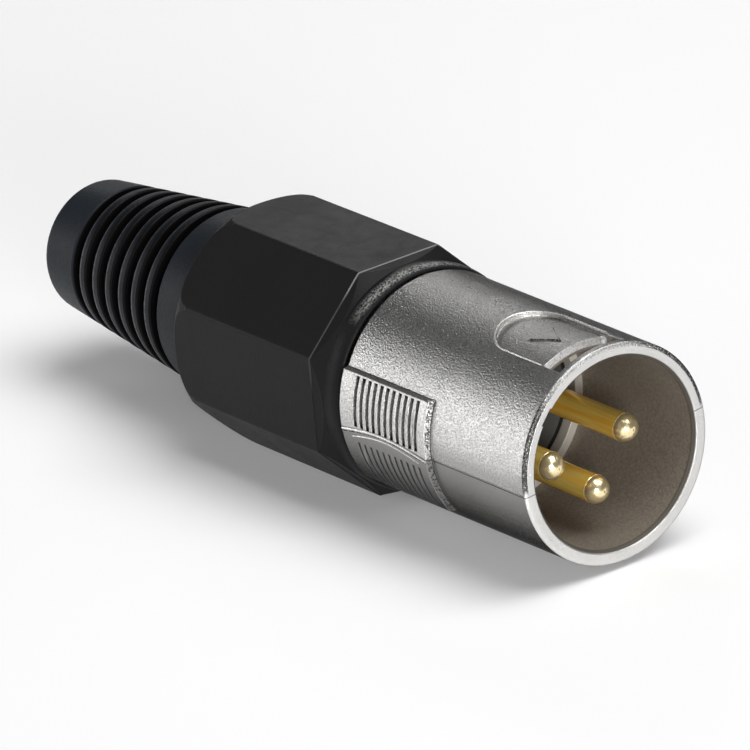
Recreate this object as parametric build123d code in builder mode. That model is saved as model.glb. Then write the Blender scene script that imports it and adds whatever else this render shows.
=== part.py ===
"""Three-pin cable plug of the 19 mm circular family, lying on one flat of its octagonal nut.

Millimetres. X runs along the plug, +X toward the mating end. Z is up. The origin is on the
surface that the plug lies on, under the middle of its length. Depths are measured along the axis
from the front face of the barrel, so that profiles are drawn as (depth, radius).
"""
import os
from math import cos, radians, sin, sqrt

from build123d import *

# Overall sizes
overall_length = 72.6
across_flats = 20.2
barrel_radius = 9.5
shell_roll = 6.45                 # the latch side leans this far toward -Y, in degrees

# Barrel and mating socket
barrel_length = 24.2
barrel_rear_radius = 9.58         # the casting's draft
rim_round_width = 0.4             # across the wall
rim_round_length = 0.2            # along the axis
mouth_chamfer = 0.3
socket_radius = 8.2
socket_depth = 14.7
ring_radius = 7.4
ring_depth = 15.8
rear_bore_radius = 7.8

# Threaded spigot behind the barrel
spigot_end = 36.5
thread_core_radius = 8.45
thread_crest_radius = 8.85
pilot_end = 26.4                  # plain land that centres the nut
thread_relief = 0.6

# Latch recess and slot on top of the barrel
recess_half_width = 3.35
recess_depth = 0.4
recess_centre_depth = 8.05        # centre of the round end
recess_edge = 0.12
slot_front = 0.8
slot_rear = 3.3
slot_corner = 0.45

# Key groove in the socket wall
keyway_angle = 44.5               # from the latch side toward -Y, in degrees
keyway_width = 1.6
keyway_radius = 8.6

# Ribbed grip pads on both sides
grip_radius = 10.0
grip_front = 12.3
grip_half_angle = 32.0
grip_bevel = 0.45                 # toward the mating end
grip_side_bevel = 0.3
grip_root_radius = 8.8            # how deep the pad's block reaches into the wall
groove_count = 11
groove_pitch = 0.82
groove_centre_depth = 18.06
groove_width = 0.45
groove_floor = 9.5
groove_end = 4.2                  # degrees above the parting plane
groove_top = 29.4
lower_groove_width = 0.28
lower_groove_floor = 9.84
lower_groove_start = 4.2          # degrees below the parting plane

# Contact insert
face_radius = 7.03
face_groove_radius = 7.45
face_groove_depth = 1.0
insert_flange_radius = 7.77
insert_body_radius = 7.2
insert_front_flange_end = 18.2
insert_rear_flange_start = 22.6
insert_end = 24.5
boss_radius = 2.1
boss_end = 25.2
divider_end = 28.6
divider_thickness = 0.8
divider_length = 6.2
divider_angles = (90, -45, -135)
key_width = 1.9
key_radius = 8.07
key_slot_radius = 8.15
key_gap = 0.05

# Contacts: half the spacing of the upper pair, and the drop of their common line under the axis
pin_radius = 1.2
pin_spread = 3.96
pin_line_drop = 0.4
pin_tip_depth = 2.7
pin_root_radius = 1.4              # where the insert holds it
pin_step_depth = 17.8
pin_shank_radius = 1.6
cup_start = 25.4
cup_radius = 1.5
cup_bore_radius = 1.1
cup_end = 30.2
cup_floor = 26.2
cup_drill_tip = 25.8
cup_window_start = 26.8
cup_window_height = 0.2
fit_gap = 0.02

# Ground spring strip
spring_width = 2.6
spring_thickness = 0.25
spring_seat_height = 6.9
spring_start = 18.6
bow_start = 19.4
bow_end = 22.4
spring_tab_end = 28.0
spring_gap = 0.05

# Chuck
chuck_arm_angle = 50.0
chuck_arm_inner = 6.9
chuck_radius = 7.7
chuck_ring_start = 31.0
chuck_ring_end = 34.0
chuck_bore_radius = 4.9
finger_shoulder = 36.0
finger_taper_start = 37.0
finger_start_radius = 7.5
finger_end = 42.0
finger_end_radius = 6.8
finger_count = 6
finger_slot_width = 0.9
tooth_radius = 4.0
tooth_pitch = 1.3
tooth_count = 4
tooth_lead = 0.3
tooth_slope = 0.2

# Nut
nut_front = 24.8
nut_shoulder = 27.8               # where the flats end
nut_end = 48.2
nut_sides = 8
side_angle = 360 / nut_sides
nut_vertex_radius = across_flats / 2 / cos(radians(side_angle / 2))
nut_edge_round = 0.4
nut_edge_bevel = 0.08
front_taper = 5.7                 # of the short faces before the flats, in degrees
neck_radius = 9.85
neck_start = 26.6                 # the cone to the octagon's corners begins here
lip_radius = 9.5
lip_round_length = 0.9            # along the axis
mouth_radius = 9.45
mouth_depth = 1.1
nut_bore_radius = 8.9
nut_bore_end = 37.6
nut_cone_start_radius = 7.75
nut_cone_end = 42.2
flange_seat_radius = 7.1
rear_wall_start = 43.8
rear_hole_radius = 6.6
rear_round = 3.0
rear_round_depth = 45.4           # centre of the rounded rear edge
rear_round_radius = 7.85
envelope_radius = 11.4            # clear of the octagon's corners
envelope_end = 44.0

# Boot
boot_flange_radius = 7.0
boot_flange_front = 42.3
boot_neck_radius = 6.52
boot_front = 48.3
boot_front_radius = 8.46
boot_end_radius = 5.85
boot_end_round = 1.0
cable_radius = 3.4
boot_mouth_radius = 5.0
boot_taper_end = 62.0
boot_groove_count = 7
boot_groove_pitch = 2.22
boot_groove_width = 1.2
boot_groove_floor_width = 1.1
boot_groove_centre = 60.2
boot_groove_depth = 1.3
boot_rib_bevel = 0.12
boot_clearance = 0.1

front_x = overall_length / 2
axis_z = across_flats / 2
lean = radians(shell_roll)

plug_axis = Axis((front_x, 0, axis_z), (-1, 0, 0))
# Local x is depth, local y is height over the axis, local z is toward +Y
shell_frame = Plane(origin=(front_x, 0, axis_z), x_dir=(-1, 0, 0), z_dir=(0, cos(lean), sin(lean)))
section = Plane(origin=(front_x, 0, axis_z), x_dir=(-1, 0, 0), z_dir=(0, 1, 0))
latch_plane = Plane(origin=(front_x, 0, axis_z), x_dir=(-1, 0, 0), z_dir=(0, -sin(lean), cos(lean)))


def across(depth, roll=0.0):
    """Plane across the axis at a depth, facing the mating end, turned by the roll angle."""
    turn = radians(roll)
    return Plane(origin=(front_x - depth, 0, axis_z), x_dir=(0, cos(turn), sin(turn)), z_dir=(1, 0, 0))


def along(angle):
    """Plane through the axis whose local y points this far from straight up, toward -Y."""
    turn = radians(angle)
    return Plane(origin=(front_x, 0, axis_z), x_dir=(-1, 0, 0), z_dir=(0, cos(turn), sin(turn)))


def axis_distance(edge):
    """Distance of an edge's middle from the plug's axis."""
    middle = edge.center()
    return sqrt(middle.Y ** 2 + (middle.Z - axis_z) ** 2)


def ring_sector(inner, outer, start, sweep):
    """Segment of a flat ring, angles from local x."""
    with BuildSketch() as segment:
        with BuildLine():
            rim = CenterArc((0, 0), outer, start, sweep)
            root = CenterArc((0, 0), inner, start, sweep)
            Line(rim @ 0, root @ 0)
            Line(rim @ 1, root @ 1)
        make_face()
    return segment.sketch


def boot_surface(depth):
    """Outer radius of the boot's taper."""
    share = (depth - boot_front) / (overall_length - boot_front)
    return boot_front_radius + share * (boot_end_radius - boot_front_radius)


# Grip pad on the -Y side: a bevelled block that wraps the barrel, with fine grooves across it
grip_lower_edge = shell_roll + 90 + grip_half_angle
grip_parting = shell_roll + 90

with BuildPart() as grip:
    with BuildSketch(along(grip_lower_edge)):
        with BuildLine():
            Polyline(
                (grip_front, barrel_radius),
                (grip_front + grip_bevel, grip_radius),
                (barrel_length, grip_radius),
                (barrel_length, grip_root_radius),
                (grip_front, grip_root_radius),
                close=True,
            )
        make_face()
    revolve(axis=plug_axis, revolution_arc=2 * grip_half_angle)
    side_edges = grip.edges().filter_by(Axis.X)
    outer_edges = [edge for edge in side_edges if axis_distance(edge) > barrel_radius]
    chamfer(outer_edges, length=grip_side_bevel)
    with BuildSketch(along(grip_parting - groove_end)):
        with Locations((groove_centre_depth, groove_floor)):
            with GridLocations(groove_pitch, 0, groove_count, 1):
                Rectangle(groove_width, grip_radius, align=(Align.CENTER, Align.MIN))
    revolve(axis=plug_axis, revolution_arc=groove_top - groove_end, mode=Mode.SUBTRACT)
    with BuildSketch(along(grip_parting + lower_groove_start + grip_half_angle)):
        with Locations((groove_centre_depth, lower_groove_floor)):
            with GridLocations(groove_pitch, 0, groove_count, 1):
                Rectangle(lower_groove_width, grip_radius, align=(Align.CENTER, Align.MIN))
    revolve(axis=plug_axis, revolution_arc=grip_half_angle, mode=Mode.SUBTRACT)

# Latch recess: a round-ended pocket whose floor follows the barrel
with BuildPart() as recess:
    with BuildSketch(latch_plane.offset(socket_radius)):
        with Locations((recess_centre_depth, 0)):
            Circle(recess_half_width)
        with Locations(((slot_front + recess_centre_depth) / 2, 0)):
            Rectangle(recess_centre_depth - slot_front, 2 * recess_half_width)
    extrude(amount=barrel_radius)
    with BuildSketch(across(barrel_length, shell_roll)):
        Circle(barrel_radius - recess_depth)
    extrude(amount=barrel_length, mode=Mode.SUBTRACT)

# Shell: barrel, socket, ring, threaded spigot and everything cut in the cast wall
with BuildPart() as shell:
    with BuildSketch(section):
        with BuildLine():
            Line((0, socket_radius + mouth_chamfer), (0, barrel_radius - rim_round_width))
            EllipticalCenterArc(
                center=(rim_round_length, barrel_radius - rim_round_width),
                x_radius=rim_round_length,
                y_radius=rim_round_width,
                start_angle=90,
                arc_size=90,
            )
            Polyline(
                (rim_round_length, barrel_radius),
                (barrel_length, barrel_rear_radius),
                (barrel_length, thread_crest_radius),
                (pilot_end, thread_crest_radius),
                (pilot_end + thread_relief, thread_core_radius),
                (spigot_end - thread_relief, thread_core_radius),
                (spigot_end, thread_core_radius - thread_relief / 2),
                (spigot_end, rear_bore_radius),
                (ring_depth, rear_bore_radius),
                (ring_depth, ring_radius),
                (socket_depth, ring_radius),
                (socket_depth, socket_radius),
                (mouth_chamfer, socket_radius),
                (0, socket_radius + mouth_chamfer),
            )
        make_face()
    revolve(axis=plug_axis)
    add(grip.part)
    mirror(grip.part, about=Plane(origin=(0, 0, axis_z), z_dir=shell_frame.z_dir))
    add(recess.part, mode=Mode.SUBTRACT)
    recess_rim = [edge for edge in shell.edges(Select.LAST) if axis_distance(edge) > barrel_radius - recess_edge]
    chamfer(recess_rim, length=recess_edge)
    with BuildSketch(latch_plane.offset(socket_radius / 2)) as slot:
        with Locations(((slot_front + slot_rear) / 2, 0)):
            Rectangle(slot_rear - slot_front, 2 * recess_half_width)
        fillet(slot.vertices().group_by(Axis.X)[-1], radius=slot_corner)
    extrude(amount=barrel_radius, mode=Mode.SUBTRACT)
    with BuildSketch(across(socket_depth, shell_roll)):
        with Locations(Location((0, 0), keyway_angle)):
            with Locations((0, keyway_radius)):
                Rectangle(keyway_width, keyway_radius / 2, align=(Align.CENTER, Align.MAX))
    extrude(amount=socket_depth, mode=Mode.SUBTRACT)
    with BuildSketch(across(spigot_end, shell_roll)):
        with Locations((0, -key_slot_radius)):
            Rectangle(key_width + 2 * key_gap, key_slot_radius / 2, align=(Align.CENTER, Align.MIN))
    extrude(amount=spigot_end - ring_depth, mode=Mode.SUBTRACT)

# Places of the contacts in the shell's frame: toward +Y, height over the axis, side of the cup's window
pin_places = {
    "pin_1": (pin_spread, -pin_line_drop, 1),
    "pin_2": (-pin_spread, -pin_line_drop, 1),
    "pin_3": (0, -pin_line_drop - pin_spread, -1),
}
pin_centres = [(side, height) for side, height, window in pin_places.values()]

# Insert: face disc and lip, two flanges that fit the bore, bosses and dividers round the cups
with BuildPart() as insert:
    with BuildSketch(section):
        with BuildLine():
            Polyline(
                (ring_depth, 0),
                (ring_depth, face_radius),
                (ring_depth + face_groove_depth, face_radius),
                (ring_depth + face_groove_depth, face_groove_radius),
                (ring_depth, face_groove_radius),
                (ring_depth, insert_flange_radius),
                (insert_front_flange_end, insert_flange_radius),
                (insert_front_flange_end, insert_body_radius),
                (insert_rear_flange_start, insert_body_radius),
                (insert_rear_flange_start, insert_flange_radius),
                (insert_end, insert_flange_radius),
                (insert_end, 0),
                close=True,
            )
        make_face()
    revolve(axis=plug_axis)
    with BuildSketch(across(insert_end, shell_roll)):
        with Locations(*pin_centres):
            Circle(boss_radius)
    extrude(amount=insert_end - boss_end)
    with BuildSketch(across(insert_end, shell_roll)):
        for angle in divider_angles:
            with Locations(Location((0, -pin_line_drop), angle)):
                Rectangle(divider_length, divider_thickness, align=(Align.MIN, Align.CENTER))
    extrude(amount=insert_end - divider_end)
    with BuildSketch(across(insert_end, shell_roll)):
        with Locations((0, -face_groove_radius)):
            Rectangle(key_width, key_radius - face_groove_radius, align=(Align.CENTER, Align.MAX))
    extrude(amount=insert_end - ring_depth)
    with BuildSketch(across(insert_end, shell_roll)):
        with Locations((0, spring_seat_height)):
            Rectangle(spring_width + 2 * spring_gap, barrel_radius, align=(Align.CENTER, Align.MIN))
    extrude(amount=insert_end - spring_start + spring_gap, mode=Mode.SUBTRACT)
    with BuildSketch(across(ring_depth, shell_roll)):
        with Locations(*pin_centres):
            Circle(pin_root_radius + fit_gap)
    extrude(amount=ring_depth - boss_end, mode=Mode.SUBTRACT)
    with BuildSketch(across(pin_step_depth, shell_roll)):
        with Locations(*pin_centres):
            Circle(pin_shank_radius + fit_gap)
    extrude(amount=pin_step_depth - boss_end, mode=Mode.SUBTRACT)

# Contacts: round tip, shank behind the step, and a solder cup cut open on its outer side
pins = {}
for name, (side, height, window) in pin_places.items():
    heart = shell_frame.from_local_coords((0, height, side))
    pin_frame = Plane(origin=heart, x_dir=shell_frame.x_dir, z_dir=shell_frame.z_dir)
    pin_axis = Axis(heart, (-1, 0, 0))
    with BuildPart() as pin:
        with BuildSketch(pin_frame):
            with BuildLine():
                RadiusArc((pin_tip_depth, 0), (pin_tip_depth + pin_radius, pin_radius), pin_radius)
                Polyline(
                    (pin_tip_depth + pin_radius, pin_radius),
                    (ring_depth, pin_radius),
                    (ring_depth, pin_root_radius),
                    (pin_step_depth, pin_root_radius),
                    (pin_step_depth, pin_shank_radius),
                    (cup_start, pin_shank_radius),
                    (cup_start, cup_radius),
                    (cup_end, cup_radius),
                    (cup_end, cup_bore_radius),
                    (cup_floor, cup_bore_radius),
                    (cup_drill_tip, 0),
                    (pin_tip_depth, 0),
                )
            make_face()
        revolve(axis=pin_axis)
        with BuildSketch(pin_frame):
            with Locations((cup_window_start, window * (cup_window_height + cup_radius))):
                Rectangle(cup_end - cup_window_start, 2 * cup_radius, align=(Align.MIN, Align.CENTER))
        extrude(amount=cup_radius, both=True, mode=Mode.SUBTRACT)
    pins[name] = pin

# Ground spring: a strip bowed against the bore, with a solder tab behind the insert
with BuildPart() as ground_spring:
    strip_middle = spring_seat_height + spring_thickness / 2
    bow_top = sqrt(rear_bore_radius ** 2 - (spring_width / 2) ** 2) - spring_thickness / 2 - fit_gap
    with BuildSketch(shell_frame):
        with BuildLine():
            Line((spring_start, strip_middle), (bow_start, strip_middle))
            ThreePointArc(
                (bow_start, strip_middle),
                ((bow_start + bow_end) / 2, bow_top),
                (bow_end, strip_middle),
            )
            Line((bow_end, strip_middle), (spring_tab_end, strip_middle))
        trace(line_width=spring_thickness)
    extrude(amount=spring_width / 2, both=True)

# Chuck: arms that press on the insert, a ring, and tapered fingers with teeth for the jacket
with BuildPart() as chuck:
    with BuildSketch(section):
        with BuildLine():
            points = [
                (chuck_ring_start, chuck_bore_radius),
                (chuck_ring_start, chuck_radius),
                (finger_shoulder, chuck_radius),
                (finger_taper_start, finger_start_radius),
                (finger_end, finger_end_radius),
                (finger_end, chuck_bore_radius),
            ]
            for tooth in range(tooth_count):
                heel = finger_end - tooth * tooth_pitch - tooth_lead
                points += [
                    (heel, chuck_bore_radius),
                    (heel - tooth_slope, tooth_radius),
                    (heel - tooth_pitch + tooth_slope, chuck_bore_radius),
                ]
            Polyline(*points, close=True)
        make_face()
    revolve(axis=plug_axis)
    with BuildSketch(across(chuck_ring_start, shell_roll)):
        for middle in (0, 180):
            add(ring_sector(chuck_arm_inner, chuck_radius, middle - chuck_arm_angle / 2, chuck_arm_angle))
    extrude(amount=chuck_ring_start - insert_end)
    with BuildSketch(across(chuck_ring_end, shell_roll)):
        with PolarLocations(chuck_radius, finger_count, start_angle=180 / finger_count):
            Rectangle(chuck_radius, finger_slot_width)
    extrude(amount=chuck_ring_end - finger_end, mode=Mode.SUBTRACT)

# Nut: octagon that falls by short tapered faces and a cone to a round neck, rounded behind
rear_corner = (nut_end, rear_round_radius + sqrt(rear_round ** 2 - (nut_end - rear_round_depth) ** 2))

with BuildPart() as nut_envelope:
    with BuildSketch(section):
        with BuildLine():
            Polyline(
                rear_corner,
                (nut_end, 0),
                (neck_start, 0),
                (neck_start, neck_radius),
                (nut_shoulder, nut_vertex_radius - nut_edge_bevel),
                (nut_shoulder, envelope_radius),
                (envelope_end, envelope_radius),
                (rear_round_depth, rear_round_radius + rear_round),
            )
            RadiusArc((rear_round_depth, rear_round_radius + rear_round), rear_corner, rear_round)
        make_face()
    revolve(axis=plug_axis)

with BuildPart() as nut:
    with BuildSketch(across(nut_shoulder)):
        RegularPolygon(nut_vertex_radius, nut_sides, rotation=side_angle / 2)
    extrude(amount=nut_shoulder - nut_end)
    fillet(nut.edges().filter_by(Axis.X), radius=nut_edge_round)
    chamfer(nut.faces().sort_by(Axis.X)[-1].edges(), length=nut_edge_bevel)
    with BuildSketch(across(nut_shoulder)):
        RegularPolygon(nut_vertex_radius - nut_edge_bevel, nut_sides, rotation=side_angle / 2)
    extrude(amount=nut_shoulder - neck_start, taper=front_taper)
    add(nut_envelope.part, mode=Mode.INTERSECT)
    with BuildSketch(section):
        with BuildLine():
            Polyline(
                (nut_front + lip_round_length, neck_radius),
                (neck_start, neck_radius),
                (neck_start, 0),
                (nut_front, 0),
                (nut_front, lip_radius),
            )
            EllipticalCenterArc(
                center=(nut_front + lip_round_length, lip_radius),
                x_radius=lip_round_length,
                y_radius=neck_radius - lip_radius,
                start_angle=90,
                arc_size=90,
            )
        make_face()
    revolve(axis=plug_axis)
    with BuildSketch(section):
        with BuildLine():
            Polyline(
                (nut_front, 0),
                (nut_front, mouth_radius),
                (nut_front + mouth_depth, mouth_radius),
                (nut_front + mouth_depth, nut_bore_radius),
                (nut_bore_end, nut_bore_radius),
                (nut_bore_end, nut_cone_start_radius),
                (nut_cone_end, flange_seat_radius),
                (rear_wall_start, flange_seat_radius),
                (rear_wall_start, rear_hole_radius),
                (nut_end, rear_hole_radius),
                (nut_end, 0),
                close=True,
            )
        make_face()
    revolve(axis=plug_axis, mode=Mode.SUBTRACT)

# Boot: flange and neck held by the nut, then a tapered sleeve cut by ring grooves
with BuildPart() as boot:
    with BuildSketch(section):
        with BuildLine():
            Polyline(
                (boot_flange_front, boot_mouth_radius),
                (boot_flange_front, boot_flange_radius),
                (rear_wall_start - boot_clearance, boot_flange_radius),
                (rear_wall_start - boot_clearance, boot_neck_radius),
                (boot_front, boot_neck_radius),
                (boot_front, boot_front_radius),
                (overall_length, boot_end_radius),
                (overall_length, cable_radius),
                (boot_taper_end, cable_radius),
                close=True,
            )
        make_face()
    revolve(axis=plug_axis)
    end_rim = boot.edges().filter_by(GeomType.CIRCLE).group_by(Axis.X)[0].sort_by(SortBy.RADIUS)[-1]
    fillet(end_rim, radius=boot_end_round)
    with BuildSketch(section):
        for ring in range(boot_groove_count):
            middle = boot_groove_centre + (ring - (boot_groove_count - 1) / 2) * boot_groove_pitch
            floor = boot_surface(middle) - boot_groove_depth
            half_floor = boot_groove_floor_width / 2
            half_top = boot_groove_width - half_floor
            with BuildLine():
                Polyline(
                    (middle - half_floor, floor),
                    (middle + half_floor, floor),
                    (middle + half_top, floor + 2 * boot_groove_depth),
                    (middle - half_top, floor + 2 * boot_groove_depth),
                    close=True,
                )
            make_face()
    revolve(axis=plug_axis, mode=Mode.SUBTRACT)
    first_cut = boot_groove_centre - boot_groove_count / 2 * boot_groove_pitch
    last_cut = boot_groove_centre + boot_groove_count / 2 * boot_groove_pitch
    cut_rims = [
        edge
        for edge in boot.edges().filter_by(GeomType.CIRCLE)
        if first_cut < front_x - edge.arc_center.X < last_cut
        and edge.radius > boot_surface(front_x - edge.arc_center.X) - boot_groove_depth / 2
    ]
    chamfer(cut_rims, length=boot_rib_bevel)

os.makedirs("parts", exist_ok=True)
pieces = {
    "shell": shell,
    "insert": insert,
    **pins,
    "ground_spring": ground_spring,
    "chuck": chuck,
    "nut": nut,
    "boot": boot,
}
for name, piece in pieces.items():
    piece.part.label = name
    export_step(piece.part, f"parts/{name}.step")
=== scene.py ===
"""Looks of a three-pin cable plug lying on its nut: satin barrel, gold contacts, black nut and boot."""
import math

import bmesh
import bpy
from mathutils import Matrix, Vector


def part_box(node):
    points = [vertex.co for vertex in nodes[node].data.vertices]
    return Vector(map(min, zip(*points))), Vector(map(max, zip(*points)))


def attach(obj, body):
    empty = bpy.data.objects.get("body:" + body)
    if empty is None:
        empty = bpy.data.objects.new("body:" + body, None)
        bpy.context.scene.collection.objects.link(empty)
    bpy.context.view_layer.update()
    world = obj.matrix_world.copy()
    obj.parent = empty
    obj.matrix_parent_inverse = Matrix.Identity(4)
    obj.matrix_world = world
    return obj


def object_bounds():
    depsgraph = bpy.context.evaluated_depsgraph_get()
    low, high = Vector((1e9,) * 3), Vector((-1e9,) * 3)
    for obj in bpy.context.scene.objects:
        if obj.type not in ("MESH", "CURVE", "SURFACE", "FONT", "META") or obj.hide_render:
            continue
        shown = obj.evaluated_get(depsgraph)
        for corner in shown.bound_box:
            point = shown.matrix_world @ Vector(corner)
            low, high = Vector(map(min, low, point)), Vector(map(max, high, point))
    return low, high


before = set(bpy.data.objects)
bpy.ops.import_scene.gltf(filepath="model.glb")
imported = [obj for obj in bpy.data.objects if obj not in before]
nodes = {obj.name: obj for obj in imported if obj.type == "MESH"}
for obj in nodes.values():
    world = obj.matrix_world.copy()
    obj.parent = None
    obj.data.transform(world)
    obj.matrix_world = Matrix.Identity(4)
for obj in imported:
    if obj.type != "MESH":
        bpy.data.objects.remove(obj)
cad_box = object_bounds()

# Sizes and places. A depth is measured along the plug's axis from the barrel's front face.
MM = 0.001
FRONT_X = cad_box[1][0]
AXIS_Z = cad_box[1][2] / 2
LEAN = math.radians(6.45)       # the latch side leans this far toward -Y

# Shell
SOCKET_RADIUS = 8.2 * MM
BARREL_RADIUS = 9.5 * MM
BARREL_LENGTH = 24.2 * MM
RIM_LENGTH = 0.2 * MM           # the rim's rounding, along the axis
RIM_REAR = 0.3 * MM             # just behind that rounding
MOUTH_LENGTH = 0.4 * MM         # how far in the mouth's dark bevel reaches
MOUTH_RADIUS = 8.44 * MM        # where the film of the socket ends on the mouth's bevel
PAD_RADIUS = 10.0 * MM
PAD_FRONT = 12.3 * MM
PARTING_LIFT = 0.27 * MM        # the casting's parting line, above the middle of the sides
PAD_BOW = 0.62 * MM             # how far that line bows up over the grip pads
RECESS_HALF_WIDTH = 3.41 * MM   # to the middle of the recess's rounded edge
RECESS_CENTRE_DEPTH = 8.05 * MM
RECESS_FLOOR_RADIUS = 9.1 * MM

# Contacts
PIN_RADIUS = 1.2 * MM
PIN_SHOULDER = 3.9 * MM         # depth at which a contact's dome begins

# Nut
NUT_FRONT = FRONT_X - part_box("nut")[1][0]
LIP_REAR = 25.95 * MM           # where the round lip's wear fades out
NUT_SHOULDER = 27.8 * MM
NUT_END = FRONT_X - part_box("nut")[0][0]

# Boot
BOOT_FRONT = 48.3 * MM
BOOT_END = FRONT_X - cad_box[0][0]
BOOT_FRONT_RADIUS = 8.46 * MM
BOOT_END_RADIUS = 5.85 * MM
RIBS_FRONT = 52.95 * MM         # depth at which the boot's first groove begins
RIBS_REAR = 67.45 * MM
RIB_PITCH = 2.22 * MM

# How softly a mask in a material ends, on each side of its limit
BLUR = 0.03 * MM


def at(depth, radius, angle):
    """Point at a depth and a radius; the angle runs from the latch side toward -Y, in degrees."""
    turn = math.radians(angle) + LEAN
    return Vector((FRONT_X - depth, -radius * math.sin(turn), AXIS_Z + radius * math.cos(turn)))


class Nodes:
    """Short way to build one material's node tree."""

    def __init__(self, name):
        self.material = bpy.data.materials.new(name)
        self.material.use_nodes = True
        self.tree = self.material.node_tree
        self.tree.nodes.clear()
        self.shader = self.add("BsdfPrincipled")
        self.link(self.shader.outputs[0], self.add("OutputMaterial").inputs["Surface"])

    def link(self, source, target):
        self.tree.links.new(source, target)

    def feed(self, **sources):
        """Link sources to the shader's sockets."""
        for name, source in sources.items():
            self.link(source, self.shader.inputs[name.replace("_", " ")])

    def set(self, **values):
        """Give the shader's sockets uniform values."""
        for name, value in values.items():
            self.shader.inputs[name.replace("_", " ")].default_value = value

    def add(self, kind, **values):
        node = self.tree.nodes.new("ShaderNode" + kind)
        for name, value in values.items():
            setattr(node, name, value)
        return node

    def position(self):
        return self.add("TexCoord").outputs["Object"]

    def noise(self, scale, detail, roughness=0.5, source=None):
        """Noise from 0 to 1 with about as many spots along a metre as its scale says."""
        node = self.add("TexNoise")
        node.inputs["Scale"].default_value = scale
        node.inputs["Detail"].default_value = detail
        node.inputs["Roughness"].default_value = roughness
        self.link(source or self.position(), node.inputs["Vector"])
        return node.outputs["Fac"]

    def math(self, operation, *values):
        node = self.add("Math", operation=operation)
        for socket, value in zip(node.inputs, values):
            if isinstance(value, (int, float)):
                socket.default_value = value
            else:
                self.link(value, socket)
        return node.outputs[0]

    def combine(self, operation, values):
        result = values[0]
        for value in values[1:]:
            result = self.math(operation, result, value)
        return result

    def product(self, *values):
        return self.combine("MULTIPLY", values)

    def total(self, *values):
        return self.combine("ADD", values)

    def highest(self, *values):
        return self.combine("MAXIMUM", values)

    def minus(self, value, less):
        return self.math("SUBTRACT", value, less)

    def ramp(self, source, low, high, from_low=0.0, from_high=1.0):
        """Value that runs from low to high while the source runs between its two limits."""
        node = self.add("MapRange", clamp=True)
        node.inputs["From Min"].default_value = from_low
        node.inputs["From Max"].default_value = from_high
        node.inputs["To Min"].default_value = low
        node.inputs["To Max"].default_value = high
        self.link(source, node.inputs["Value"])
        return node.outputs[0]

    def over(self, value, limit, blur):
        """1 over a limit and 0 under it."""
        return self.ramp(value, 0.0, 1.0, limit - blur, limit + blur)

    def under(self, value, limit, blur):
        """1 under a limit and 0 over it."""
        return self.ramp(value, 1.0, 0.0, limit - blur, limit + blur)

    def within(self, value, low, high, blur):
        """1 between two limits and 0 outside them."""
        return self.product(self.over(value, low, blur), self.under(value, high, blur))

    def mix(self, factor, first, second):
        """Colour that runs from the first to the second as the factor runs from 0 to 1."""
        node = self.add("Mix", data_type="RGBA")
        factor_socket, first_socket, second_socket = node.inputs[0], node.inputs[6], node.inputs[7]
        for socket, value in ((factor_socket, factor), (first_socket, first), (second_socket, second)):
            if isinstance(value, (int, float)):
                socket.default_value = value
            elif isinstance(value, tuple):
                socket.default_value = (*value, 1.0)
            else:
                self.link(value, socket)
        return node.outputs[2]

    def bump(self, height, distance, normal=None, strength=1.0):
        node = self.add("Bump")
        node.inputs["Strength"].default_value = strength
        node.inputs["Distance"].default_value = distance
        self.link(height, node.inputs["Height"])
        if normal is not None:
            self.link(normal, node.inputs["Normal"])
        return node.outputs[0]

    def openness(self, distance):
        """1 on open surfaces, falling toward 0 in narrow grooves and corners."""
        node = self.add("AmbientOcclusion", samples=8, only_local=True)
        node.inputs["Distance"].default_value = distance
        return node.outputs["AO"]

    def soft_edges(self, radius):
        """Normal that rounds the edges off by a radius."""
        node = self.add("Bevel", samples=6)
        if isinstance(radius, float):
            node.inputs["Radius"].default_value = radius
        else:
            self.link(radius, node.inputs["Radius"])
        return node.outputs[0]

    def edge_wear(self, soft):
        """1 on rounded edges, where the softened normal leaves the flat one, and 0 on the faces."""
        dot = self.add("VectorMath", operation="DOT_PRODUCT")
        self.link(soft, dot.inputs[0])
        self.link(self.add("NewGeometry").outputs["True Normal"], dot.inputs[1])
        return self.ramp(dot.outputs["Value"], 1.0, 0.0, 0.94, 0.995)

    def depth(self):
        """Depth behind the barrel's front face."""
        split = self.add("SeparateXYZ")
        self.link(self.position(), split.inputs[0])
        return self.minus(FRONT_X, split.outputs["X"])

    def off_axis(self):
        """Place beside the plug's axis and place over it."""
        split = self.add("SeparateXYZ")
        self.link(self.position(), split.inputs[0])
        return split.outputs["Y"], self.minus(split.outputs["Z"], AXIS_Z)

    def radius(self):
        """Distance from the plug's axis."""
        beside, over = self.off_axis()
        return self.math("SQRT", self.total(self.product(beside, beside), self.product(over, over)))

    def height(self):
        """Height over the axis, toward the latch side."""
        beside, over = self.off_axis()
        return self.minus(self.product(over, math.cos(LEAN)), self.product(beside, math.sin(LEAN)))

    def sideways(self):
        """Distance to either side of the latch side's middle."""
        beside, over = self.off_axis()
        across = self.total(self.product(beside, math.cos(LEAN)), self.product(over, math.sin(LEAN)))
        return self.math("ABSOLUTE", across)

    def uneven_roughness(self, cloud, dust, middle):
        """Roughness that varies a little in clouds and dust, as on handled plastic."""
        wear = self.total(self.product(cloud, 0.6), self.product(dust, 0.4))
        self.feed(Roughness=self.ramp(wear, middle - 0.05, middle + 0.05, 0.35, 0.65))


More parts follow.
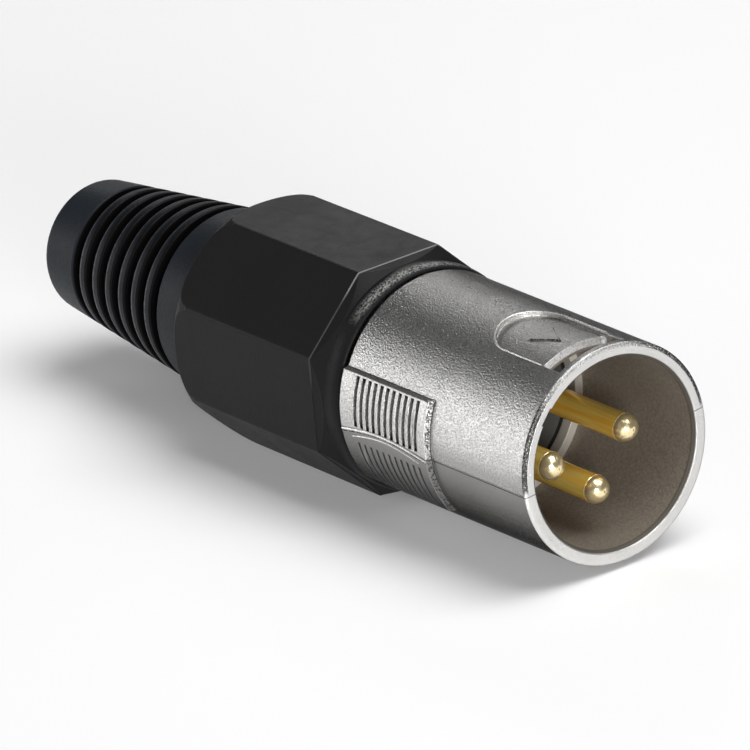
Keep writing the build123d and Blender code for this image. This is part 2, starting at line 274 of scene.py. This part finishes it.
class ShellZones:
    """Masks for the parts of the shell that look different, and the noises that they share."""

    def __init__(self, look):
        self.radius = look.radius()
        self.depth = look.depth()
        self.height = look.height()
        self.inside = look.under(self.radius, MOUTH_RADIUS, 0.04 * MM)
        self.mouth = look.product(self.inside, look.under(self.depth, MOUTH_LENGTH, 0.10 * MM))
        self.ledge = look.under(self.radius, SOCKET_RADIUS - 0.06 * MM, 0.04 * MM)
        along_pad = look.ramp(self.depth, 0.0, math.pi, PAD_FRONT, BARREL_LENGTH)
        parting = look.total(look.product(look.math("SINE", along_pad), PAD_BOW), PARTING_LIFT)
        self.above_parting = look.minus(self.height, parting)
        self.behind_rim = look.over(self.depth, RIM_LENGTH + 0.01 * MM, BLUR)
        self.lower = look.product(look.under(self.above_parting, 0.0, BLUR), self.behind_rim)
        self.cloud = look.noise(150, 2.0)
        self.pearl = look.noise(6200, 2.0, 0.6)
        self.pits = look.noise(9500, 1.0)
        self.rim = self.rim_soil_and_shade(look)
        self.bevel = self.pad_bevel_soil_and_shade(look)

    def rim_soil_and_shade(self, look):
        """Ragged dark specks on the rim's outer rounding, above the parting line and least at the top:
        partly soil, partly painted shade.
        """
        rounding = look.product(
            look.over(self.radius, 9.13 * MM, BLUR),
            look.under(self.depth, RIM_REAR, 0.04 * MM),
        )
        sideways = look.sideways()
        ragged = look.total(look.noise(7600, 2.0, 0.6), look.ramp(sideways, -0.01, 0.13, 3.0 * MM, 7.0 * MM))
        amount = look.product(
            look.over(self.above_parting, 0.25 * MM, 0.25 * MM),
            look.ramp(sideways, 0.45, 1.0, 2.5 * MM, 6.5 * MM),
        )
        return look.product(rounding, look.ramp(ragged, 0.0, 0.92, 0.42, 0.60), amount)

    def pad_bevel_soil_and_shade(self, look):
        """Dark specks on the pads' front bevels, closed up to a painted shade line at the foot: partly soil,
        partly painted shade.
        """
        along = look.within(self.depth, PAD_FRONT - 0.06 * MM, PAD_FRONT + 0.42 * MM, BLUR)
        across = look.within(self.radius, BARREL_RADIUS + 0.06 * MM, PAD_RADIUS - 0.04 * MM, BLUR)
        specks = look.ramp(look.over(look.noise(6000, 1.0), 0.53, 0.04), 0.30, 0.85)
        foot = look.under(self.radius, BARREL_RADIUS + 0.13 * MM, BLUR)
        return look.product(along, across, look.highest(specks, foot))


def zinc_colour(look, zones):
    """Sandy upper half, a lower half that is duller by finish and by painted shade, painted shade low on the
    sides, and a brown film in the socket.
    """
    pale = look.mix(zones.cloud, (0.74, 0.73, 0.715), (0.83, 0.82, 0.805))
    # painted shade: the barrel's sides darkened just above the parting line, from the rim to the pads
    low_barrel_shade = look.product(
        look.under(zones.height, 1.7 * MM, 0.7 * MM),
        look.within(zones.depth, RIM_LENGTH, PAD_FRONT - 0.1 * MM, BLUR),
    )
    pale = look.mix(look.product(low_barrel_shade, 0.6), pale, (0.42, 0.415, 0.405))
    # lower half below the parting line: darker for its smoother finish, and darkened further as painted
    # shade
    dull_and_shaded = look.mix(zones.cloud, (0.34, 0.337, 0.33), (0.39, 0.386, 0.38))
    skin = look.mix(zones.lower, pale, dull_and_shaded)
    pearl_share = look.minus(zones.behind_rim, look.product(zones.lower, 0.7))
    pearl = look.product(look.ramp(zones.pearl, 0.50, 0.0, 0.36, 0.56), pearl_share)
    skin = look.mix(pearl, skin, (0.22, 0.217, 0.212))
    stain = look.over(look.noise(4200, 2.0, 0.6), 0.5, 0.2)
    film = look.mix(stain, (0.205, 0.178, 0.146), (0.305, 0.268, 0.221))
    film = look.mix(zones.ledge, film, (0.74, 0.70, 0.63))
    film = look.mix(zones.mouth, film, (0.09, 0.081, 0.068))
    return look.mix(zones.inside, skin, film)


def zinc_soil_and_shade(look, zones):
    """Dirt and painted shade in the grooves, a painted shadow under the parting line, and dark specks with
    painted shade on the cast edges.
    """
    open_share = look.total(look.openness(0.45 * MM), look.product(look.minus(zones.pits, 0.5), 0.9))
    # grooves darkened where ambient occlusion finds them: partly dirt, partly painted shade
    groove = look.product(
        look.under(open_share, 0.63, 0.13),
        look.over(zones.depth, PAD_FRONT - 0.05 * MM, 0.05 * MM),
        look.ramp(zones.lower, 1.0, 0.45),
    )
    # painted shadow: a dark band just under the parting line
    seam_shadow = look.product(look.within(zones.above_parting, -0.15 * MM, -0.07 * MM, 0.02 * MM), 0.75)
    outside = look.minus(1.0, zones.inside)
    return look.product(look.highest(groove, seam_shadow, zones.rim, zones.bevel), outside)


def plated_metal():
    """Satin plating with a pearly cast grain, worn smooth below the parting line and darker there, partly by
    finish and partly by painted shade; soil and painted shade darken its grooves and edges.
    """
    look = Nodes("plated_zinc")
    zones = ShellZones(look)
    # soil and painted shade darken the plating
    soil_and_shade = zinc_soil_and_shade(look, zones)
    look.feed(Base_Color=look.mix(soil_and_shade, zinc_colour(look, zones), (0.015, 0.0145, 0.014)))
    look.feed(Metallic=look.minus(1.0, look.product(zones.inside, look.ramp(zones.ledge, 0.7, 0.4))))
    look.set(Specular_Tint=(0.02, 0.02, 0.02, 1.0))
    mottled = look.ramp(zones.cloud, 0.278, 0.30, 0.3, 0.7)
    look.feed(Roughness=look.total(mottled, look.product(zones.inside, 0.25)))

    grain = look.total(look.product(zones.pearl, 0.75), look.product(zones.pits, 0.25))
    smooth = look.highest(look.product(zones.lower, 0.5), look.product(zones.inside, 0.6))
    relief = look.product(grain, look.minus(1.0, smooth))
    relief = look.minus(relief, look.product(look.highest(zones.rim, zones.bevel), 0.4))
    look.feed(Normal=look.bump(relief, 0.09 * MM, look.soft_edges(0.1 * MM)))
    return look.material


def gold_plate():
    """Domes painted pale as a painted highlight, and shafts with streaks along them that are partly drawing
    marks and partly painted reflection.
    """
    look = Nodes("gold_plate")
    dome = look.under(look.depth(), PIN_SHOULDER - BLUR, BLUR)
    stretched = look.add("Mapping")
    stretched.inputs["Scale"].default_value = (0.05, 1.0, 1.0)
    look.link(look.position(), stretched.inputs["Vector"])
    # streaks: partly drawing marks, partly painted reflection
    streaks = look.over(look.noise(1500, 2.0, 0.65, stretched.outputs[0]), 0.49, 0.17)
    shaft = look.mix(streaks, (0.94, 0.47, 0.03), (1.0, 0.77, 0.20))
    # painted highlight: the domes take a pale gold
    look.feed(Base_Color=look.mix(dome, shaft, (1.0, 0.84, 0.50)))
    look.feed(Metallic=look.ramp(dome, 0.45, 0.9))
    look.feed(Roughness=look.highest(look.ramp(streaks, 0.22, 0.12), look.product(dome, 0.28)))
    look.feed(Normal=look.bump(streaks, 0.03 * MM))
    return look.material


def moulded_plastic(name, dark, light, roughness):
    """Satin plastic, clouded between two shades."""
    look = Nodes(name)
    cloud = look.noise(90, 3.0, 0.6)
    look.feed(Base_Color=look.mix(cloud, dark, light))
    look.uneven_roughness(cloud, look.noise(900, 3.0, 0.7), roughness)
    look.feed(Normal=look.bump(look.noise(3500, 2.0, 0.55), 0.004 * MM))
    return look.material


def boot_rubber():
    """Bluish black rubber, its grooves darkened as painted shade and its ribs' rear edges lightened as a
    painted highlight.
    """
    look = Nodes("boot_rubber")
    radius = look.radius()
    depth = look.depth()
    cloud = look.noise(90, 3.0, 0.6)
    dust = look.noise(2600, 3.0, 0.7)
    surface = look.ramp(depth, BOOT_FRONT_RADIUS, BOOT_END_RADIUS, BOOT_FRONT, BOOT_END)
    # painted shade: surfaces sunk under the boot's outer cone go near black
    sunk = look.over(look.minus(surface, radius), 0.13 * MM, 0.07 * MM)
    ribbed = look.within(depth, RIBS_FRONT, RIBS_REAR, 0.1 * MM)
    # 0 where a groove begins, 1 at the rear edge of the rib behind it
    pitch_share = look.math("FRACT", look.math("DIVIDE", look.minus(depth, RIBS_FRONT), RIB_PITCH))
    # painted highlight: pale lines on the ribs' rear edges, broken up like wear, strongest low on the sides
    rib_edge_highlight = look.product(
        look.within(pitch_share, 0.86, 0.965, 0.02),
        look.ramp(dust, 0.3, 1.0, 0.35, 0.65),
        look.ramp(look.height(), 1.0, 0.25, 2.0 * MM, 6.0 * MM),
    )
    colour = look.mix(cloud, (0.0130, 0.0160, 0.0205), (0.0165, 0.0200, 0.0255))
    # painted shade: each groove and the rib's front flank darkened
    shade = look.product(ribbed, look.ramp(pitch_share, 0.97, 0.35, 0.58, 0.86))
    colour = look.mix(shade, colour, (0.0006, 0.0009, 0.0013))
    colour = look.mix(look.product(rib_edge_highlight, ribbed), colour, (0.14, 0.145, 0.153))
    look.feed(Base_Color=look.mix(sunk, colour, (0.0003, 0.0003, 0.0004)))
    matte = look.ramp(look.total(cloud, dust), 0.42, 0.52, 0.8, 1.2)
    look.feed(Roughness=look.total(matte, look.product(sunk, 0.3)))
    look.set(Specular_IOR_Level=0.12)
    look.feed(Normal=look.bump(look.noise(3800, 2.0, 0.6), 0.026 * MM, look.soft_edges(0.12 * MM)))
    return look.material


def nut_plastic():
    """Satin black plastic: the round lip is pitted, with pale specks on top as a painted highlight; the
    flats are smooth, and pale lines on the edges are painted highlights.
    """
    look = Nodes("nut_plastic")
    depth = look.depth()
    height = look.height()
    cloud = look.noise(90, 3.0, 0.6)
    dust = look.noise(900, 3.0, 0.7)
    pits = look.noise(5200, 2.0, 0.6)
    lip = look.under(depth, LIP_REAR, 0.35 * MM)
    front = look.under(depth, NUT_SHOULDER - 0.05 * MM, 0.05 * MM)
    on_top = look.product(
        look.over(height, 8.45 * MM, 0.85 * MM),
        look.over(depth, NUT_FRONT + 0.27 * MM, 0.15 * MM),
    )
    # the lip's edges stay crisp, and the body's edges are rounder
    edge_radius = look.ramp(depth, 0.02 * MM, 0.25 * MM, NUT_SHOULDER + 0.1 * MM, NUT_SHOULDER + 1.0 * MM)
    soft = look.soft_edges(edge_radius)

    colour = look.mix(cloud, (0.0112, 0.0112, 0.0117), (0.0142, 0.0142, 0.0147))
    # painted highlight: pale specks on the top of the lip
    lip_highlight_specks = look.product(lip, on_top, look.over(pits, 0.50, 0.12))
    colour = look.mix(lip_highlight_specks, colour, (0.33, 0.34, 0.318))
    worn_edges = look.product(look.edge_wear(soft), look.ramp(dust, 0.15, 0.6, 0.35, 0.65))
    colour = look.mix(worn_edges, colour, (0.09, 0.09, 0.09))
    # painted highlights: pale lines on the front edges of the flats, strongest on the top flat, and on the
    # rear edge
    front_amount = look.total(
        look.ramp(height, 0.0, 0.75, 8.7 * MM, 9.5 * MM),
        look.ramp(height, 0.0, 0.2, 2.0 * MM, 4.0 * MM),
    )
    front_line = look.within(depth, NUT_SHOULDER - 0.04 * MM, NUT_SHOULDER + 0.08 * MM, 0.01 * MM)
    rear_line = look.within(depth, NUT_END - 0.25 * MM, NUT_END + 0.1 * MM, BLUR)
    lines = look.highest(look.product(front_line, front_amount), look.product(rear_line, 0.3))
    look.feed(Base_Color=look.mix(lines, colour, (0.19, 0.19, 0.185)))

    look.uneven_roughness(cloud, dust, 0.42)
    look.set(Specular_IOR_Level=0.08)
    coarse = look.total(look.product(lip, 0.5), look.product(front, 0.2), 0.30)
    look.feed(Normal=look.bump(look.product(pits, coarse), 0.04 * MM, soft))
    return look.material


def spring_metal():
    """Bright rolled strip."""
    look = Nodes("spring_steel")
    cloud = look.noise(500, 2.0)
    look.feed(Base_Color=look.mix(cloud, (0.60, 0.59, 0.57), (0.70, 0.69, 0.67)))
    look.feed(Roughness=look.ramp(cloud, 0.25, 0.38, 0.3, 0.7))
    look.set(Metallic=1.0)
    return look.material


def dark_crease():
    """Dark metal in fine creases: partly soil, partly painted shade."""
    look = Nodes("soil_and_shade_zinc")
    speck = look.over(look.noise(5200, 1.0), 0.51, 0.04)
    look.feed(Base_Color=look.mix(speck, (0.02, 0.019, 0.018), (0.30, 0.295, 0.285)))
    look.feed(Roughness=look.ramp(speck, 0.5, 0.3))
    look.set(Metallic=0.7)
    return look.material


def worn_edge():
    """Plating worn bright along raised lines."""
    look = Nodes("worn_zinc")
    speck = look.over(look.noise(6000, 1.0), 0.50, 0.10)
    look.feed(Base_Color=look.mix(speck, (0.66, 0.655, 0.645), (0.96, 0.955, 0.94)))
    look.feed(Roughness=look.ramp(speck, 0.40, 0.25))
    look.feed(Normal=look.bump(speck, 0.01 * MM, strength=0.5))
    look.set(Metallic=0.75)
    return look.material


metal = plated_metal()
soil_and_shade_metal = dark_crease()
worn_metal = worn_edge()
gold = gold_plate()
looks = {
    "shell": metal,
    "pin_1": gold,
    "pin_2": gold,
    "pin_3": gold,
    "ground_spring": spring_metal(),
    "insert": moulded_plastic("insert_plastic", (0.035, 0.034, 0.031), (0.05, 0.048, 0.044), 0.48),
    "chuck": moulded_plastic("chuck_plastic", (0.030, 0.030, 0.030), (0.042, 0.042, 0.042), 0.46),
    "nut": nut_plastic(),
    "boot": boot_rubber(),
}
for name, material in looks.items():
    slots = nodes[name].data.materials
    slots.clear()
    slots.append(material)


def new_mesh(name, points, faces, material):
    """Object of one material, its faces turned outward."""
    mesh = bpy.data.meshes.new(name)
    mesh.from_pydata([tuple(point) for point in points], [], faces)
    shape = bmesh.new()
    shape.from_mesh(mesh)
    bmesh.ops.recalc_face_normals(shape, faces=shape.faces)
    shape.to_mesh(mesh)
    shape.free()
    mesh.materials.append(material)
    piece = bpy.data.objects.new(name, mesh)
    bpy.context.scene.collection.objects.link(piece)
    return piece


def skin_mesh(name, rows, material, capped=True):
    """Skin over rows of equally many points, each row closed to a loop."""
    count = len(rows[0])
    points = [point for row in rows for point in row]
    faces = []
    for start in range(0, len(points) - count, count):
        for place in range(count):
            here = start + place
            beside = start + (place + 1) % count
            faces.append((here, beside, beside + count, here + count))
    if capped:
        faces.append(tuple(range(count - 1, -1, -1)))
        faces.append(tuple(range(len(points) - count, len(points))))
    return new_mesh(name, points, faces, material)


def thread_ridge():
    """The spigot's outer thread, a ridge wound round its core that runs out at both ends."""
    pitch = 1.25 * MM
    core = 8.42 * MM
    crest = 8.84 * MM
    root_half_width = 0.50 * MM
    crest_half_width = 0.10 * MM
    start = 27.3 * MM
    end = 35.606 * MM
    steps_per_turn = 72
    run_out_steps = 18
    lowest_share = 0.1
    last_step = (end - start) / pitch * steps_per_turn
    rows = []
    for step in range(int(last_step) + 1):
        depth = start + pitch * step / steps_per_turn
        angle = -360.0 * step / steps_per_turn
        share = min(1.0, step / run_out_steps, (last_step - step) / run_out_steps)
        top = core + (crest - core) * max(share, lowest_share)
        rows.append([
            at(depth - root_half_width, core, angle),
            at(depth - crest_half_width, top, angle),
            at(depth + crest_half_width, top, angle),
            at(depth + root_half_width, core, angle),
        ])
    return skin_mesh("thread_ridge", rows, metal)


def ridge(name, path, material, width, proud):
    """Low rounded line on the shell; path lists depth, arc length from the latch side, and radius."""
    steps = 6
    border_sink = 0.02 * MM
    rows = []
    for index, (depth, arc, radius) in enumerate(path):
        before = path[max(index - 1, 0)]
        after = path[min(index + 1, len(path) - 1)]
        along = Vector((after[0] - before[0], after[1] - before[1])).normalized()
        row = []
        for step in range(steps + 1):
            share = step / steps * 2 - 1
            height = proud * math.cos(share * math.pi / 2)
            if abs(share) == 1:
                height -= border_sink
            shift = share * width / 2
            angle = math.degrees((arc + along.x * shift) / radius)
            row.append(at(depth - along.y * shift, radius + height, angle))
        rows.append(row)
    return skin_mesh(name, rows, material)


def side_line(side, front, rear, lift, bow=0.0):
    """Path along one side of the shell between two places, each a depth and a radius, bowed upward."""
    steps = 24
    path = []
    for step in range(steps + 1):
        share = step / steps
        depth = front[0] + share * (rear[0] - front[0])
        radius = front[1] + share * (rear[1] - front[1])
        rise = lift + bow * math.sin(share * math.pi)
        path.append((depth, side * (radius * math.pi / 2 - rise), radius))
    return path


def recess_line():
    """Worn edge of the latch recess, from its front corner round the rear end and back."""
    radius = BARREL_RADIUS + 0.01 * MM
    straight_depths = (3.1 * MM, 4.3 * MM, 5.5 * MM, 6.8 * MM)
    steps = 32
    outline = [(depth, RECESS_HALF_WIDTH) for depth in straight_depths]
    for step in range(steps + 1):
        turn = math.pi * step / steps
        depth = RECESS_CENTRE_DEPTH + RECESS_HALF_WIDTH * math.sin(turn)
        outline.append((depth, RECESS_HALF_WIDTH * math.cos(turn)))
    outline += [(depth, -RECESS_HALF_WIDTH) for depth in reversed(straight_depths)]
    path = [(depth, radius * math.asin(sideways / radius), radius) for depth, sideways in outline]
    return ridge("recess_line", path, worn_metal, width=0.17 * MM, proud=0.045 * MM)


def recess_mark():
    """A plain raised triangle on the recess floor, pointing to the mating end, in a dark crease."""
    tip = 4.8 * MM
    base = 7.4 * MM
    middle = 6.5 * MM
    half_base = 1.25 * MM
    outline = [(tip, 0.0), (base, half_base), (base, -half_base)]
    # height over the floor and size of each level: sunk border, crease, foot and top
    levels = ((-0.05 * MM, 1.1), (0.015 * MM, 1.1), (0.02 * MM, 1.0), (0.12 * MM, 0.93))
    rows = []
    for height, size in levels:
        row = []
        for depth, sideways in outline:
            angle = math.degrees(sideways * size / RECESS_FLOOR_RADIUS)
            row.append(at(middle + (depth - middle) * size, RECESS_FLOOR_RADIUS + height, angle))
        rows.append(row)
    mark = skin_mesh("recess_mark", rows, metal)
    # the triangle's side faces take the dark crease metal: soil and painted shade
    mark.data.materials.append(soil_and_shade_metal)
    sides = mark.data.polygons[:-2]
    for face in sides:
        face.material_index = 1
    return mark


def pin_shoulder(node):
    """Fine turned edge where a contact's shaft ends and its dome begins."""
    low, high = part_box(node)
    centre_y = (low[1] + high[1]) / 2
    centre_z = (low[2] + high[2]) / 2
    # place along the shaft from its shoulder, toward the rear, and height over the shaft
    profile = (
        (-0.10 * MM, -0.02 * MM),
        (0.0, 0.035 * MM),
        (0.03 * MM, 0.035 * MM),
        (0.07 * MM, -0.02 * MM),
    )
    steps = 48
    rows = []
    for step in range(steps + 1):
        angle = 2 * math.pi * step / steps
        row = []
        for place, proud in profile:
            radius = PIN_RADIUS + proud
            y = centre_y + radius * math.cos(angle)
            z = centre_z + radius * math.sin(angle)
            row.append(Vector((FRONT_X - PIN_SHOULDER - place, y, z)))
        rows.append(row)
    return skin_mesh(node + "_shoulder", rows, gold, capped=False)


def casting_lines(side, side_name):
    """The parting line on one side of the barrel, and the fine lines on the grip pad behind it, one of them
    a painted shadow.
    """

    def across_pad(front, rear, lift):
        return side_line(side, (front, PAD_RADIUS), (rear, PAD_RADIUS), lift, PAD_BOW)

    pad_foot = (PAD_FRONT, BARREL_RADIUS + 0.04 * MM)
    barrel_path = side_line(side, (RIM_REAR, BARREL_RADIUS), pad_foot, PARTING_LIFT)
    pad_path = across_pad(PAD_FRONT + 0.45 * MM, BARREL_LENGTH - 0.05 * MM, PARTING_LIFT - 0.16 * MM)
    # painted shadow: a dark strip laid just under the pad line
    shadow_path = across_pad(PAD_FRONT + 0.5 * MM, BARREL_LENGTH - 0.1 * MM, PARTING_LIFT - 0.35 * MM)
    field_path = across_pad(13.8 * MM, 22.9 * MM, -0.30 * MM)
    return [
        ridge("parting_line_" + side_name, barrel_path, metal, width=0.14 * MM, proud=0.04 * MM),
        ridge("pad_line_" + side_name, pad_path, worn_metal, width=0.26 * MM, proud=0.09 * MM),
        ridge("pad_shadow_line_" + side_name, shadow_path, soil_and_shade_metal, width=0.14 * MM, proud=0.02 * MM),
        ridge("field_line_" + side_name, field_path, worn_metal, width=0.14 * MM, proud=0.05 * MM),
    ]


cast_pieces = [thread_ridge(), recess_mark()]
for node in ("pin_1", "pin_2", "pin_3"):
    ring = pin_shoulder(node)
    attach(ring, "shell")
cast_pieces.append(recess_line())
cast_pieces += casting_lines(1, "near")
cast_pieces += casting_lines(-1, "far")
for piece in cast_pieces:
    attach(piece, "shell")

# Floor, light and camera
scene = bpy.context.scene
scene.view_settings.view_transform = "Standard"


def floor_paper():
    """Pale paper, lifted to white for the rays that show the backdrop."""
    glow = 0.12
    look = Nodes("floor_paper")
    look.set(Base_Color=(0.9, 0.9, 0.9, 1.0), Emission_Color=(1.0, 1.0, 1.0, 1.0))
    look.set(Roughness=0.9, Specular_IOR_Level=0.0)
    rays = look.add("LightPath").outputs
    shown = look.highest(rays["Is Camera Ray"], rays["Is Glossy Ray"], rays["Is Transmission Ray"])
    look.feed(Emission_Strength=look.product(shown, glow))
    return look.material


def add_floor():
    half = 8.0
    corners = [(-half, -half, 0), (half, -half, 0), (half, half, 0), (-half, half, 0)]
    floor = new_mesh("floor", corners, [(0, 1, 2, 3)], floor_paper())


def add_world():
    """Faint even light from all round."""
    strength = 0.06
    world = bpy.data.worlds.new("studio")
    scene.world = world
    world.use_nodes = True
    background = world.node_tree.nodes["Background"]
    background.inputs["Color"].default_value = (1.0, 1.0, 1.0, 1.0)
    background.inputs["Strength"].default_value = strength


def softbox(name, direction, distance, width, height, radiance):
    """Rectangular lamp that faces the plug; its brightness is given as seen in a mirror."""
    data = bpy.data.lights.new(name, "AREA")
    data.shape = "RECTANGLE"
    data.size = width
    data.size_y = height
    data.energy = radiance * math.pi * width * height
    lamp = bpy.data.objects.new(name, data)
    lamp.location = Vector(direction).normalized() * distance
    lamp.rotation_euler = Vector(direction).to_track_quat("Z", "Y").to_euler()
    scene.collection.objects.link(lamp)


def add_camera():
    """Long lens on the photo's side, turned round a point near the plug's middle."""
    aim = (0.0, 2.446 * MM, 6.621 * MM)
    distance = 845.87 * MM
    azimuth = math.radians(-35.177)
    elevation = math.radians(21.88)
    roll = math.radians(-5.635)
    data = bpy.data.cameras.new("camera")
    data.sensor_width = 36.0
    data.lens = 480.0
    data.clip_start = 0.05
    data.clip_end = 50.0
    camera = bpy.data.objects.new("camera", data)
    heading = Matrix.Rotation(math.pi / 2 + azimuth, 4, "Z")
    tilt = Matrix.Rotation(math.pi / 2 - elevation, 4, "X")
    back = Matrix.Translation((0.0, 0.0, distance))
    camera.matrix_world = Matrix.Translation(aim) @ heading @ tilt @ Matrix.Rotation(roll, 4, "Z") @ back
    scene.collection.objects.link(camera)
    scene.camera = camera


add_floor()
add_world()
softbox("overhead", (0.30, 0.20, 0.93), distance=1.2, width=0.9, height=0.9, radiance=5.1)
softbox("low_near", (-0.76, -0.60, 0.18), distance=1.0, width=0.6, height=0.36, radiance=3.0)
softbox("side", (-0.76, -0.46, 0.46), distance=1.0, width=0.5, height=0.22, radiance=0.24)
softbox("far_strip", (-0.76, 0.475, 0.44), distance=1.0, width=0.28, height=0.12, radiance=7.0)
softbox("front", (0.90, -0.40, 0.15), distance=1.2, width=0.35, height=0.3, radiance=29.0)
add_camera()
